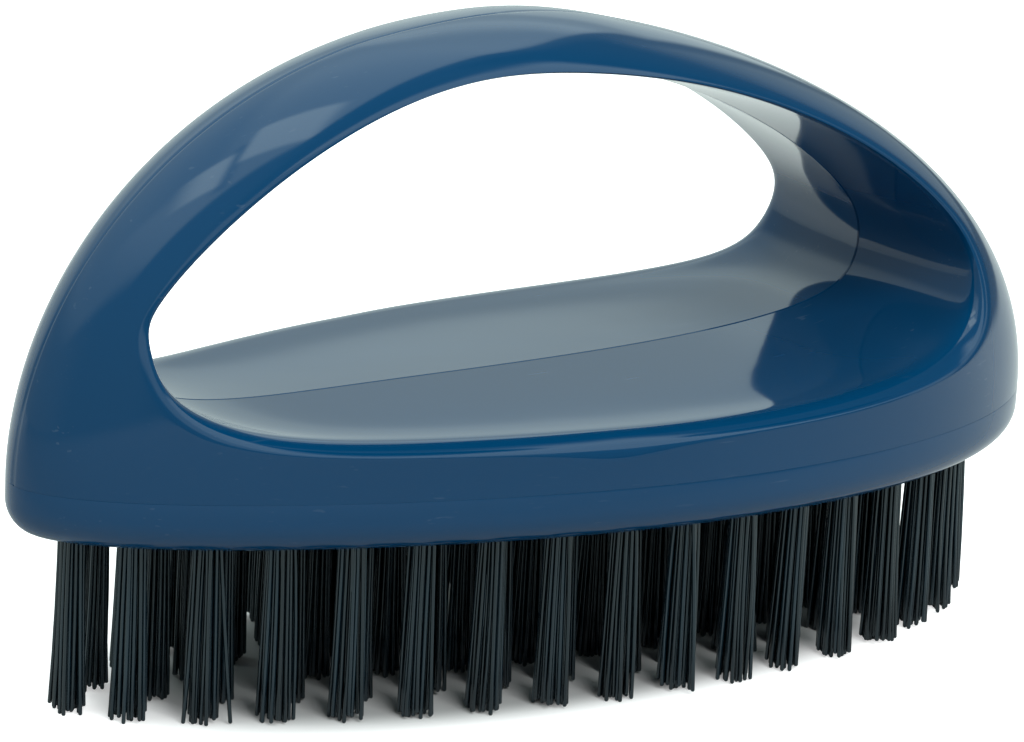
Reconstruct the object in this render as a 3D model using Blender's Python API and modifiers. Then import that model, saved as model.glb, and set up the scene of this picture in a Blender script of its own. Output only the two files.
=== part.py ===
"""Scrub brush with an arched handle.

The handle is one plastic moulding: an oval body whose sides rise in a dome, with a hand
opening cut through it from side to side. A bristle block fits in the underside of the
moulding, and tufts of filament are set in holes in the block. Units are metres, +Z is up,
+X is the blunt end, and the brush stands on its bristle tips at Z = 0.
"""
import math

import bmesh
import bpy
import numpy as np

# Base oval, seen from above
BASE_LENGTH = 0.1300
BASE_WIDTH = 0.0588
OVAL_POWER = 1.90
TAPER_SHARE = 0.228

# Heights of the main levels
BRISTLE_LENGTH = 0.0201
BLOCK_EDGE = 0.0058
DOME_HEIGHT = 0.0455
DOME_APEX_X = -0.0059

# Dome curvature, as powers of the rounded outline
LEFT_END_RISE = 1.92
LEFT_END_POWER = 2.17
RIGHT_END_RISE = 1.96
RIGHT_END_POWER = 1.66
SIDE_RISE = 3.00
SIDE_POWER = 2.06

# Hand opening at its rim, seen from the side, by what is left of the body round it
LEFT_END_MARGIN = 0.0106
RIGHT_END_MARGIN = 0.0183
HANDLE_THICKNESS = 0.0039
SADDLE_HEIGHT = 0.0051
OPENING_LEVEL = 0.0177
OPENING_APEX_SHIFT = 0.0042
SADDLE_CORNER_SHARE = 0.80

# Opening curvature, as powers of the rounded outline in each quarter
UPPER_LEFT_RISE = 1.90
UPPER_LEFT_POWER = 1.22
UPPER_RIGHT_RISE = 1.94
UPPER_RIGHT_POWER = 1.32
LOWER_LEFT_RISE = 5.50
LOWER_LEFT_POWER = 2.90
LOWER_RIGHT_RISE = 3.30
LOWER_RIGHT_POWER = 4.40

# Tunnel through the opening: narrowest at the mid-plane, with a rounded edge at each rim
OPENING_DRAFT = 0.0009
DRAFT_LEAN_SHARE = 0.87
TUNNEL_FLARE_POWER = 1.50
RIM_HEIGHT = 0.0020
RIM_DEPTH = 0.0013

# Bristle block and its seat in the moulding
FIT_GAP = 0.0003
BODY_WALL = 0.0034
SPIGOT_HEIGHT = 0.0027
BLOCK_CORNER = 0.0036
CUT_OVERRUN = 0.0020

# Tuft holes and tufts
HOLE_DIAMETER = 0.0038
HOLE_DEPTH = 0.0068
ROOT_RECESS = 0.0006
RING_EDGE = 0.0071
RING_STEP = 0.0067
TUFT_PITCH = 0.0077
INNER_PITCH = 0.0079
HOLE_WALL = 0.0012
OUTER_START_SHARE = -0.113
INNER_START_SHARES = (-0.08, 0.64)
INSET_KEEP_SHARE = 0.985
ROOT_SLICE = 0.0015
ROOT_SLICE_MARGIN = 0.0006

# Strands of one tuft
STRAND_WIDTH = 0.0009
STRAND_CIRCLE = 0.0010
STRAND_SPREAD = 0.0005
STRAND_BURY = 0.0006
RING_STRANDS = 4
STRAND_SIDES = 3

# Facet counts
OUTLINE_POINTS = 72
DENSE_POINTS = 1440
DOME_SECTIONS = 44
SADDLE_SECTIONS = 20
TUNNEL_ROWS = 3
RIM_ROWS = 4
FLANK_ROWS = 9
CORNER_SEGMENTS = 4
HOLE_SIDES = 8
BLOCK_CORNER_PROFILE = 0.5
SHARP_DEGREES = 40.0
MIRROR_MERGE = 0.00001

# Levels worked out from the sizes above
UNDERSIDE_Z = BRISTLE_LENGTH
SEAM_Z = BRISTLE_LENGTH + BLOCK_EDGE
APEX_Z = SEAM_Z + DOME_HEIGHT
SPIGOT_TOP_Z = SEAM_Z + SPIGOT_HEIGHT
OPENING_Z = SEAM_Z + OPENING_LEVEL
OPENING_APEX_X = DOME_APEX_X - OPENING_APEX_SHIFT
OPENING_LEFT_REACH = BASE_LENGTH / 2 + OPENING_APEX_X - LEFT_END_MARGIN
OPENING_RIGHT_REACH = BASE_LENGTH / 2 - OPENING_APEX_X - RIGHT_END_MARGIN
OPENING_RISE = DOME_HEIGHT - HANDLE_THICKNESS - OPENING_LEVEL
OPENING_DROP = OPENING_LEVEL - SADDLE_HEIGHT
ROOT_SLICE_Z = SPIGOT_TOP_Z - FIT_GAP - ROOT_SLICE
SPIGOT_INSET = BODY_WALL + FIT_GAP
ROOT_SLICE_INSET = RING_EDGE + RING_STEP - HOLE_DIAMETER / 2 - ROOT_SLICE_MARGIN


def clear_scene():
    """Remove every object, so the script can run twice in one file."""
    for item in list(bpy.data.objects):
        bpy.data.objects.remove(item, do_unlink=True)


def make_material(name, color, roughness, coat=0.0):
    """A plain Principled material."""
    material = bpy.data.materials.new(name)
    material.use_nodes = True
    shader = material.node_tree.nodes["Principled BSDF"]
    shader.inputs["Base Color"].default_value = (*color, 1.0)
    shader.inputs["Roughness"].default_value = roughness
    shader.inputs["Metallic"].default_value = 0.0
    shader.inputs["Coat Weight"].default_value = coat
    material.diffuse_color = (*color, 1.0)
    return material


def rounded(share, rise, power):
    """Height of a rounded outline, 1 at share 0 and 0 at share 1."""
    return np.maximum(1.0 - np.abs(share) ** rise, 0.0) ** (1.0 / power)


def oval_side(share):
    """Half-width of the base oval as a share, at a place along it from -1 to 1."""
    return rounded(share, OVAL_POWER, OVAL_POWER) * (1.0 + TAPER_SHARE * share)


def outer_half_width(x, z):
    """Half-width of the moulding's outer surface at a place in the side view."""
    level = np.clip((z - SEAM_Z) / DOME_HEIGHT, 0.0, 1.0)
    half_length = BASE_LENGTH / 2
    left = DOME_APEX_X - (half_length + DOME_APEX_X) * rounded(level, LEFT_END_RISE, LEFT_END_POWER)
    right = DOME_APEX_X + (half_length - DOME_APEX_X) * rounded(level, RIGHT_END_RISE, RIGHT_END_POWER)
    middle = (left + right) / 2
    reach = np.maximum((right - left) / 2, FIT_GAP)
    share = np.clip((x - middle) / reach, -1.0, 1.0)
    return BASE_WIDTH / 2 * rounded(level, SIDE_RISE, SIDE_POWER) * oval_side(share)


def spread_evenly(points, count, closed):
    """The given number of points, evenly spaced along a path of dense points."""
    path = np.vstack([points, points[:1]]) if closed else points
    steps = np.linalg.norm(np.diff(path, axis=0), axis=1)
    along = np.concatenate([[0.0], np.cumsum(steps)])
    stops = np.linspace(0.0, along[-1], count, endpoint=not closed)
    return np.column_stack([np.interp(stops, along, path[:, axis]) for axis in range(path.shape[1])])


def base_path(inset):
    """Dense closed path at a distance inside the base oval, from the left end by the near side."""
    angle = np.linspace(0.0, 2.0 * math.pi, DENSE_POINTS, endpoint=False)
    share = -np.cos(angle)
    across = -np.sign(np.sin(angle)) * oval_side(share)
    edge = np.column_stack([BASE_LENGTH / 2 * share, BASE_WIDTH / 2 * across])
    edge = spread_evenly(edge, DENSE_POINTS, closed=True)
    along = np.roll(edge, -1, axis=0) - np.roll(edge, 1, axis=0)
    along /= np.linalg.norm(along, axis=1)[:, None]
    path = edge + inset * np.column_stack([-along[:, 1], along[:, 0]])
    gaps = np.linalg.norm(path[:, None, :] - edge[None, ::4, :], axis=2).min(axis=1)
    return path[gaps > inset * INSET_KEEP_SHARE]


def base_outline(inset):
    """Evenly spaced outline at a distance inside the base oval."""
    return spread_evenly(base_path(inset), OUTLINE_POINTS, closed=True)


def opening_outline(shrink):
    """Dense closed outline of the hand opening in the side view, anticlockwise from the right.

    In each quarter |x / reach| ** rise + |z / height| ** power = 1. The draft is taken off each
    reach and height, and leans towards the right end.
    """
    angle = np.linspace(0.0, 2.0 * math.pi, DENSE_POINTS, endpoint=False)
    cosine, sine = np.cos(angle), np.sin(angle)
    left, low = cosine < 0.0, sine < 0.0
    rise = np.where(low, np.where(left, LOWER_LEFT_RISE, LOWER_RIGHT_RISE),
                    np.where(left, UPPER_LEFT_RISE, UPPER_RIGHT_RISE))
    power = np.where(low, np.where(left, LOWER_LEFT_POWER, LOWER_RIGHT_POWER),
                     np.where(left, UPPER_LEFT_POWER, UPPER_RIGHT_POWER))
    draft = shrink * (1.0 + DRAFT_LEAN_SHARE * cosine)
    reach = np.where(left, OPENING_LEFT_REACH, OPENING_RIGHT_REACH) - draft
    height = np.where(low, OPENING_DROP, OPENING_RISE) - draft
    x = OPENING_APEX_X + reach * np.sign(cosine) * np.abs(cosine) ** (2.0 / rise)
    z = OPENING_Z + height * np.sign(sine) * np.abs(sine) ** (2.0 / power)
    return np.column_stack([x, z])


def opening_points(shrink):
    """Opening points for each section: round the dome first, then back along the saddle."""
    outline = opening_outline(shrink)
    corner_level = OPENING_Z - (OPENING_DROP - shrink) * SADDLE_CORNER_SHARE
    low = outline[:, 1] < corner_level
    start = int(np.argmax(~low & np.roll(low, 1)))
    ring = np.roll(outline, -start, axis=0)
    low = np.roll(low, -start)
    split = int(np.argmax(low))
    over = spread_evenly(ring[:split], DOME_SECTIONS, closed=False)
    under = spread_evenly(ring[split - 1:], SADDLE_SECTIONS + 2, closed=False)
    return np.vstack([over, under[1:-1]])


def profile_points():
    """Outer mid-plane points for each section: over the dome, then back along the seam."""
    level = np.sin(np.linspace(0.0, math.pi / 2, DENSE_POINTS))
    half_length = BASE_LENGTH / 2
    right = DOME_APEX_X + (half_length - DOME_APEX_X) * rounded(level, RIGHT_END_RISE, RIGHT_END_POWER)
    left = DOME_APEX_X - (half_length + DOME_APEX_X) * rounded(level, LEFT_END_RISE, LEFT_END_POWER)
    height = SEAM_Z + DOME_HEIGHT * level
    over = np.vstack([np.column_stack([right, height]), np.column_stack([left, height])[::-1]])
    over = spread_evenly(over, DOME_SECTIONS, closed=False)
    share = -np.cos(np.linspace(0.0, math.pi, SADDLE_SECTIONS + 2))[1:-1]
    under = np.column_stack([half_length * share, np.full(SADDLE_SECTIONS, SEAM_Z)])
    return np.vstack([over, under])


def section_points(middle, rim, outer, reaches_plane):
    """One half section: opening at the mid-plane, wall, rounded rim, then the flank outward."""
    direction = outer - rim
    span = np.linalg.norm(direction)
    direction = direction / span
    tunnel_side = float(outer_half_width(*rim)) - RIM_DEPTH
    points = []
    for row in range(TUNNEL_ROWS):
        share = row / TUNNEL_ROWS
        place = middle + (rim - middle) * share ** TUNNEL_FLARE_POWER
        points.append((place[0], -tunnel_side * share, place[1]))
    for row in range(RIM_ROWS):
        turn = math.pi / 2 * row / RIM_ROWS
        place = rim + direction * (RIM_HEIGHT * (1.0 - math.cos(turn)))
        side = float(outer_half_width(*place)) - RIM_DEPTH * (1.0 - math.sin(turn))
        points.append((place[0], -side, place[1]))
    for row in range(FLANK_ROWS + 1):
        share = math.sin(math.pi / 2 * row / FLANK_ROWS)
        place = rim + direction * (RIM_HEIGHT + (span - RIM_HEIGHT) * share)
        points.append((place[0], -float(outer_half_width(*place)), place[1]))
    if reaches_plane:
        points[-1] = (outer[0], 0.0, outer[1])
    return points


def new_object(name, mesh, collection, material=None):
    """Put a mesh in a new object."""
    item = bpy.data.objects.new(name, mesh)
    collection.objects.link(item)
    if material is not None:
        mesh.materials.append(material)
    return item


def mesh_from(name, shape):
    """Turn a bmesh into a mesh with its faces pointing outward."""
    bmesh.ops.recalc_face_normals(shape, faces=shape.faces)
    mesh = bpy.data.meshes.new(name)
    shape.to_mesh(mesh)
    shape.free()
    return mesh


def add_prism(shape, outline, bottom, top):
    """Add an upright prism on a flat outline, and return its bottom edges."""
    face = shape.faces.new([shape.verts.new((x, y, bottom)) for x, y in outline])
    edges = list(face.edges)
    moved = bmesh.ops.extrude_face_region(shape, geom=[face])["geom"]
    lifted = [item for item in moved if isinstance(item, bmesh.types.BMVert)]
    bmesh.ops.translate(shape, verts=lifted, vec=(0.0, 0.0, top - bottom))
    return edges


def prism_mesh(name, outline, bottom, top):
    """A closed upright prism."""
    shape = bmesh.new()
    add_prism(shape, outline, bottom, top)
    return mesh_from(name, shape)


def add_cylinder(shape, x, y, bottom, top, diameter):
    """Add an upright cylinder with the holes' number of sides."""
    made = bmesh.ops.create_cone(
        shape, cap_ends=True, segments=HOLE_SIDES,
        radius1=diameter / 2, radius2=diameter / 2, depth=top - bottom)
    bmesh.ops.translate(shape, verts=made["verts"], vec=(x, y, (bottom + top) / 2))


def cut_or_join(item, cutter, operation):
    """Apply a Boolean to an object, and keep the other operand as a hidden guide."""
    step = item.modifiers.new(operation.title(), "BOOLEAN")
    step.operation = operation
    step.solver = "EXACT"
    step.object = cutter
    cutter.display_type = "WIRE"
    cutter.hide_render = True
    evaluated = item.evaluated_get(bpy.context.evaluated_depsgraph_get())
    mesh = bpy.data.meshes.new_from_object(evaluated)
    item.modifiers.clear()
    item.data = mesh


def smooth_faces(mesh):
    """Smooth shading, with edges kept sharp over the sharp angle."""
    mesh.shade_smooth()
    mesh.set_sharp_from_angle(angle=math.radians(SHARP_DEGREES))


def make_handle_body(parts, guides, material):
    """The upper moulding: half of it lofted round the hand opening, then mirrored."""
    rims = opening_points(0.0)
    middles = opening_points(OPENING_DRAFT)
    outers = profile_points()
    shape = bmesh.new()
    rings = []
    for index, (middle, rim, outer) in enumerate(zip(middles, rims, outers)):
        points = section_points(middle, rim, outer, index < DOME_SECTIONS)
        rings.append([shape.verts.new(point) for point in points])
    for ring, following in zip(rings, rings[1:] + rings[:1]):
        for row in range(len(ring) - 1):
            shape.faces.new((ring[row], following[row], following[row + 1], ring[row + 1]))
    seat = [ring[-1] for ring in rings[DOME_SECTIONS - 1:]] + [rings[0][-1]]
    shape.faces.new(seat)
    body = new_object("handle_body", mesh_from("handle_body", shape), parts, material)
    mirror = body.modifiers.new("Mirror", "MIRROR")
    mirror.use_axis = (False, True, False)
    mirror.use_clip = True
    mirror.merge_threshold = MIRROR_MERGE
    recess = prism_mesh("recess", base_outline(BODY_WALL), SEAM_Z - CUT_OVERRUN,
                        SPIGOT_TOP_Z + FIT_GAP)
    cut_or_join(body, new_object("recess_cutter", recess, guides), "DIFFERENCE")
    smooth_faces(body.data)
    return body


def ring_places(inset, pitch, start_share):
    """Tuft places on a ring inside the base oval, from a share of one pitch past its left end."""
    path = base_path(inset)
    closed = np.vstack([path, path[:1]])
    steps = np.linalg.norm(np.diff(closed, axis=0), axis=1)
    along = np.concatenate([[0.0], np.cumsum(steps)])
    count = 2 * round(along[-1] / (2 * pitch))
    stops = (along[-1] * (np.arange(count) + start_share) / count) % along[-1]
    return np.column_stack([np.interp(stops, along, closed[:, axis]) for axis in range(2)])


def row_places(ring):
    """Tuft places on the centre line, where the innermost ring is a ring step or more away."""
    wide = ring[np.abs(ring[:, 1]) > RING_STEP, 0]
    start = wide.min()
    length = wide.max() - start
    count = max(int(length / INNER_PITCH), 1)
    row = start + length * (np.arange(count) + 0.5) / count
    return np.column_stack([row, np.zeros(count)])


def spaced_places(places):
    """The places in turn, without those whose hole would come too near one that is kept."""
    kept = []
    for place in places:
        if all(np.linalg.norm(place - other) > HOLE_DIAMETER + HOLE_WALL for other in kept):
            kept.append(place)
    return np.array(kept)


def tuft_places():
    """Places of the outer ring's tufts, and of the inner rings and the centre row."""
    outer = ring_places(RING_EDGE, TUFT_PITCH, OUTER_START_SHARE)
    inner = []
    inset = RING_EDGE + RING_STEP
    while BASE_WIDTH / 2 - inset > RING_STEP:
        start_share = INNER_START_SHARES[len(inner) % len(INNER_START_SHARES)]
        inner.append(ring_places(inset, INNER_PITCH, start_share))
        inset += RING_STEP
    inner.append(row_places(inner[-1]))
    return outer, spaced_places(np.vstack(inner))


def make_bristle_block(parts, guides, material, outer, inner):
    """The lower plate with its spigot, the pocket for the root slice, and the tuft holes."""
    shape = bmesh.new()
    low_edges = add_prism(shape, base_outline(0.0), UNDERSIDE_Z, SEAM_Z - FIT_GAP)
    bmesh.ops.bevel(shape, geom=low_edges, offset=BLOCK_CORNER, segments=CORNER_SEGMENTS,
                    profile=BLOCK_CORNER_PROFILE, affect="EDGES", clamp_overlap=True)
    block = new_object("bristle_block", mesh_from("bristle_block", shape), parts, material)
    spigot = prism_mesh("spigot", base_outline(SPIGOT_INSET), UNDERSIDE_Z + BLOCK_CORNER, SPIGOT_TOP_Z)
    cut_or_join(block, new_object("spigot_guide", spigot, guides), "UNION")
    pocket = prism_mesh("pocket", base_outline(ROOT_SLICE_INSET - FIT_GAP),
                        ROOT_SLICE_Z - FIT_GAP, SPIGOT_TOP_Z + CUT_OVERRUN)
    cut_or_join(block, new_object("pocket_cutter", pocket, guides), "DIFFERENCE")
    holes = bmesh.new()
    for x, y in outer:
        add_cylinder(holes, x, y, UNDERSIDE_Z - CUT_OVERRUN, UNDERSIDE_Z + HOLE_DEPTH, HOLE_DIAMETER)
    for x, y in inner:
        add_cylinder(holes, x, y, UNDERSIDE_Z - CUT_OVERRUN, SPIGOT_TOP_Z, HOLE_DIAMETER)
    cutter = new_object("hole_cutters", mesh_from("hole_cutters", holes), guides)
    cut_or_join(block, cutter, "DIFFERENCE")
    smooth_faces(block.data)
    return block


def make_tuft_mesh(guides, root_top, material):
    """One tuft: the root bundle that sits in the hole, and its strands cut level at Z = 0."""
    root_bottom = UNDERSIDE_Z + ROOT_RECESS
    root = bmesh.new()
    add_cylinder(root, 0.0, 0.0, root_bottom, root_top, HOLE_DIAMETER - 2 * FIT_GAP)
    bundle = new_object("root_bundle", mesh_from("root_bundle", root), guides)
    strands = bmesh.new()
    turns = [None] + [2.0 * math.pi * step / RING_STRANDS for step in range(RING_STRANDS)]
    for turn in turns:
        circle = 0.0 if turn is None else STRAND_CIRCLE
        spread = 0.0 if turn is None else STRAND_SPREAD
        side = (0.0, 0.0) if turn is None else (math.cos(turn), math.sin(turn))
        height = root_bottom + STRAND_BURY
        made = bmesh.ops.create_cone(
            strands, cap_ends=True, segments=STRAND_SIDES,
            radius1=STRAND_WIDTH / 2, radius2=STRAND_WIDTH / 2, depth=height)
        for vertex in made["verts"]:
            is_tip = vertex.co.z < 0.0
            out = circle + (spread if is_tip else 0.0)
            vertex.co.x += out * side[0]
            vertex.co.y += out * side[1]
            vertex.co.z = 0.0 if is_tip else height
    sheaf = new_object("strand_guide", mesh_from("strand_guide", strands), guides)
    cut_or_join(bundle, sheaf, "UNION")
    mesh = bundle.data
    mesh.materials.append(material)
    bpy.data.objects.remove(bundle, do_unlink=True)
    return mesh


def tuft_turn(x, y):
    """Turn of a tuft about its own axis, so neighbours don't show the same face."""
    return math.atan2(y, x)


def make_outer_tufts(parts, guides, material, places):
    """The outer ring: each tuft is its own piece."""
    mesh = make_tuft_mesh(guides, UNDERSIDE_Z + HOLE_DEPTH - FIT_GAP, material)
    mesh.name = "outer_tuft"
    tufts = []
    for number, (x, y) in enumerate(places, start=1):
        tuft = bpy.data.objects.new(f"outer_tuft_{number:02d}", mesh)
        parts.objects.link(tuft)
        tuft.location = (x, y, 0.0)
        tuft.rotation_euler = (0.0, 0.0, tuft_turn(x, y))
        tufts.append(tuft)
    return tufts


def make_inner_tufts(parts, guides, material, places):
    """The inner rings and the centre row, joined by one slice of backing behind the block."""
    mesh = make_tuft_mesh(guides, ROOT_SLICE_Z + ROOT_SLICE / 2, material)
    field = bmesh.new()
    for x, y in places:
        first = len(field.verts)
        field.from_mesh(mesh)
        field.verts.ensure_lookup_table()
        added = field.verts[first:]
        turn = tuft_turn(x, y)
        cosine, sine = math.cos(turn), math.sin(turn)
        for vertex in added:
            px, py = vertex.co.x, vertex.co.y
            vertex.co.x = x + px * cosine - py * sine
            vertex.co.y = y + px * sine + py * cosine
    guide = new_object("inner_tuft_guide", mesh_from("inner_tuft_guide", field), guides)
    slice_mesh = prism_mesh("inner_tuft_field", base_outline(ROOT_SLICE_INSET),
                            ROOT_SLICE_Z, ROOT_SLICE_Z + ROOT_SLICE)
    item = new_object("inner_tuft_field", slice_mesh, parts, material)
    cut_or_join(item, guide, "UNION")
    return item


def main():
    clear_scene()
    parts = bpy.data.collections.new("scrub_brush")
    guides = bpy.data.collections.new("cutters")
    bpy.context.scene.collection.children.link(parts)
    bpy.context.scene.collection.children.link(guides)
    plastic = make_material("navy_plastic", (0.012, 0.058, 0.125), 0.16, coat=0.3)
    nylon = make_material("black_nylon", (0.008, 0.010, 0.012), 0.42)
    outer, inner = tuft_places()
    pieces = [make_handle_body(parts, guides, plastic)]
    pieces.append(make_bristle_block(parts, guides, plastic, outer, inner))
    pieces.append(make_inner_tufts(parts, guides, nylon, inner))
    pieces.extend(make_outer_tufts(parts, guides, nylon, outer))
    brush = bpy.data.objects.new("scrub_brush_frame", None)
    parts.objects.link(brush)
    for piece in pieces:
        piece.parent = brush
    strands = (len(outer) + len(inner)) * (RING_STRANDS + 1)
    print(f"{len(outer)} outer and {len(inner)} inner tufts, {strands} strands")


main()
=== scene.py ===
"""Looks of the scrub brush: the glossy mouldings, the filaments, the studio and the camera.

Metres, +Z up, +X towards the blunt end. The brush stands on its bristle tips at Z = 0.
"""
import math

import bmesh
import bpy
import numpy as np
from mathutils import Matrix, Vector, geometry


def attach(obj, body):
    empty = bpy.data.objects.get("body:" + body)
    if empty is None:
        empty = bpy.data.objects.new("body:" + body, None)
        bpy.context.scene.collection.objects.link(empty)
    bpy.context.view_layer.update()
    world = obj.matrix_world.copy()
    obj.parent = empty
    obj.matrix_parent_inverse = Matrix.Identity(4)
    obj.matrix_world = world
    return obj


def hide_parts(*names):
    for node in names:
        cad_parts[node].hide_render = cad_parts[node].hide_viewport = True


# Base oval and main levels
BASE_LENGTH = 0.1300
BASE_WIDTH = 0.0588
OVAL_POWER = 1.90
TAPER_SHARE = 0.228
UNDERSIDE_Z = 0.0201
SEAM_Z = 0.0259
DOME_HEIGHT = 0.0455
DOME_APEX_X = -0.0059

# Dome curvature
LEFT_END_RISE = 1.92
LEFT_END_POWER = 2.17
RIGHT_END_RISE = 1.96
RIGHT_END_POWER = 1.66
SIDE_RISE = 3.00
SIDE_POWER = 2.06
CROWN_SHARE = 0.05
CROWN_REACH = 0.0805

# Hand opening at its rim, seen from the side
OPENING_Z = 0.0436
OPENING_APEX_X = -0.0101
OPENING_LEFT_REACH = 0.0443
OPENING_RIGHT_REACH = 0.0572
OPENING_RISE = 0.0239
OPENING_DROP = 0.0126
UPPER_LEFT_RISE = 1.90
UPPER_LEFT_POWER = 1.22
UPPER_RIGHT_RISE = 1.94
UPPER_RIGHT_POWER = 1.32
LOWER_LEFT_RISE = 5.50
LOWER_LEFT_POWER = 2.90
LOWER_RIGHT_RISE = 3.30
LOWER_RIGHT_POWER = 4.40
TOP_BLUR = 0.0035
TOP_BLUR_REACH = 0.016
TIP_BLUR = 0.0012
TIP_BLUR_REACH = 0.004
END_BLUR = 0.0026
END_BLUR_REACH = 0.008
SADDLE_CORNER_SHARE = 0.80

# Wall of the opening: its draft to the mid-plane, the lip beside the rim on the saddle, the roll
# into the rim by its lengths at the top and on the saddle, and the rim
OPENING_DRAFT = 0.0009
DRAFT_LEAN_SHARE = 0.87
LIP_SLOPE = 0.105
LIP_START = 0.0220
LIP_FULL = 0.0044
LIP_POWER = 4.0
ROLL_LENGTHS = (0.0012, 0.0033)
ROLL_POWER = 2.45
JOIN_DEGREES = 30.0
ROW_POWER = 1.9
RIM_HEIGHT = 0.0020
RIM_DEPTH = 0.0013

# Seam between the mouldings, and the parting line on the mid-plane
SEAM_GAP = 0.00001
SEAM_ROUND = 0.00004
PARTING_WIDTH = 0.00018
PARTING_DEPTH = 0.00028
TOP_PARTING_DEPTH = 0.00010

# Bristle block
BLOCK_CORNER = 0.0036
HOLE_RADIUS = 0.0019
HOLE_DEPTH = 0.0068
HOLE_CHAMFER = 0.0002

# Tufts
RING_EDGE = 0.0071
RING_STEP = 0.0067
TUFT_PITCH = 0.0077
INNER_PITCH = 0.0079
HOLE_SPACING = 0.0050
OUTER_START_SHARE = -0.113
INNER_START_SHARES = (-0.08, 0.64)
INSET_KEEP_SHARE = 0.985
FILAMENTS = 31
FILAMENT_RADIUS = 0.00025
TIP_ROUND_SHARE = 0.55
TIP_ROUND_LENGTH = 0.00015
TUFT_RADIUS = 0.00135
ROOT_SCATTER = 0.00004
TUFT_FLARE = 0.00062
FLARE_POWER = 1.5
FILAMENT_LEAN = 0.00010
TUFT_LEAN = 0.00012
STRAY_SHARE = 0.04
STRAY_LEAN = (0.0003, 0.0014)
FILAMENT_BOW = 0.00010
ROOT_Z = 0.0218
RAGGED_LENGTH = 0.0008
RAGGED_POWER = 1.6
OUTER_SEED = 11
INNER_SEED = 23

# Grid counts
DENSE_POINTS = 2880
DOME_SECTIONS = 300
SADDLE_SECTIONS = 130
TUNNEL_ROWS = 25
RIM_ROWS = 7
FLANK_ROWS = 40
OUTLINE_POINTS = 360
OUTLINE_SKIP = 4
SEAM_STEPS = 4
CORNER_STEPS = 13
HOLE_SIDES = 20
FILAMENT_SIDES = 6
FILAMENT_STEPS = 4

# Mesh finish
MERGE_DISTANCE = 1e-7
LEAST_REACH = 1e-5
MOULDING_SHARP_DEGREES = 38
FILAMENT_SHARP_DEGREES = 65

# Navy plastic: its colour, how strong each effect is, and the effects' own values. A noise is its
# scale and its detail.
NAVY_COLOR = (0.0008, 0.053, 0.146, 1.0)
NAVY_FINISH = {"Tint": 0.10, "Roughness": 0.07, "Scuff": 0.07, "Dust": 0.20, "Wave": 0.05}
PLASTIC_IOR = 1.5
FLOW_NOISE = (38.0, 3.0)
FLOW_MIDDLE = 0.5
SCUFF_STRETCH = (90.0, 1500.0, 2200.0)
SCUFF_TURN = (0.0, 0.35, 0.5)
SCUFF_NOISE = (1.0, 1.0)
SCUFF_REACH = (0.68, 0.74)
PATCH_NOISE = (150.0, 2.0)
PATCH_REACH = (0.52, 0.68)
DUST_SCALE = 210.0
DUST_SIZE = 0.03
DUST_CHANCE = 0.88
MARK_COLOR = (0.42, 0.50, 0.58, 1.0)
MARK_ROUGHNESS = 0.4
WAVE_NOISE = (95.0, 1.0)
WAVE_HEIGHT = 0.0004

# Black nylon, from the darkest filament to the palest, and its cut tips
NYLON_DARK = (0.0006, 0.0022, 0.0042, 1.0)
NYLON_PALE = (0.0065, 0.018, 0.029, 1.0)
NYLON_TIP = (0.03, 0.035, 0.04, 1.0)
TIP_REACH = (0.9, 1.0)
TIP_TONES = (0.0, 0.25)
NYLON_FINISH = {"Roughness": 0.20, "IOR": 1.53, "Specular IOR Level": 0.92,
                "Specular Tint": (0.78, 0.93, 1.0, 1.0)}

WHITE = (1.0, 1.0, 1.0, 1.0)
NODE_STEP = 200.0

# Camera fitted to the photograph: place, turn, dip, tilt and lens, and its directions on the floor
CAMERA_PLACE = (-0.280506, -0.391972, 0.163027)
CAMERA_YAW = 0.616230
CAMERA_DIP = 0.268287
CAMERA_TILT = 0.0517
CAMERA_CLIP = (0.01, 50.0)
SENSOR_MM = 36.0
LENS_MM = 158.84
FLAT_RIGHT = (math.cos(CAMERA_YAW), -math.sin(CAMERA_YAW), 0.0)
FLAT_AHEAD = (math.sin(CAMERA_YAW), math.cos(CAMERA_YAW), 0.0)

# Key light: its turn to the right of the camera, its angle over the floor, and its distance
KEY_TURN = 0.50
KEY_HEIGHT = 0.80
KEY_DISTANCE = 1.2
KEY_SIZE = 0.55
KEY_POWER = 6.2
KEY_TARGET = (0.0, 0.0, 0.03)

# Floor: its tones to the object from front to back and towards the right, which are painted shade that
# darkens the floor in front of the brush and far to the right, and its tone and glow to the camera round
# the brush, by the distance from the middle as a share of the base oval. The tone to the camera is a
# painted shadow, darker near the brush, laid over the real shadow there. The glow lifts the rest to white.
FLOOR_HALF_SIZE = 6.0
FLOOR_BACK_REACH = (-0.10, 0.10)
FLOOR_BACK_PAINTED_SHADE = (0.42, 0.85)
FLOOR_RIGHT_REACH = (0.24, 0.34)
FLOOR_RIGHT_PAINTED_SHADE = (1.0, 0.2)
SHADOW_SHARES = (0.66, 0.97)
PAINTED_SHADOW_TONES = (0.60, 1.0)
FLOOR_GLOWS = (0.0, 0.85)

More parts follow.
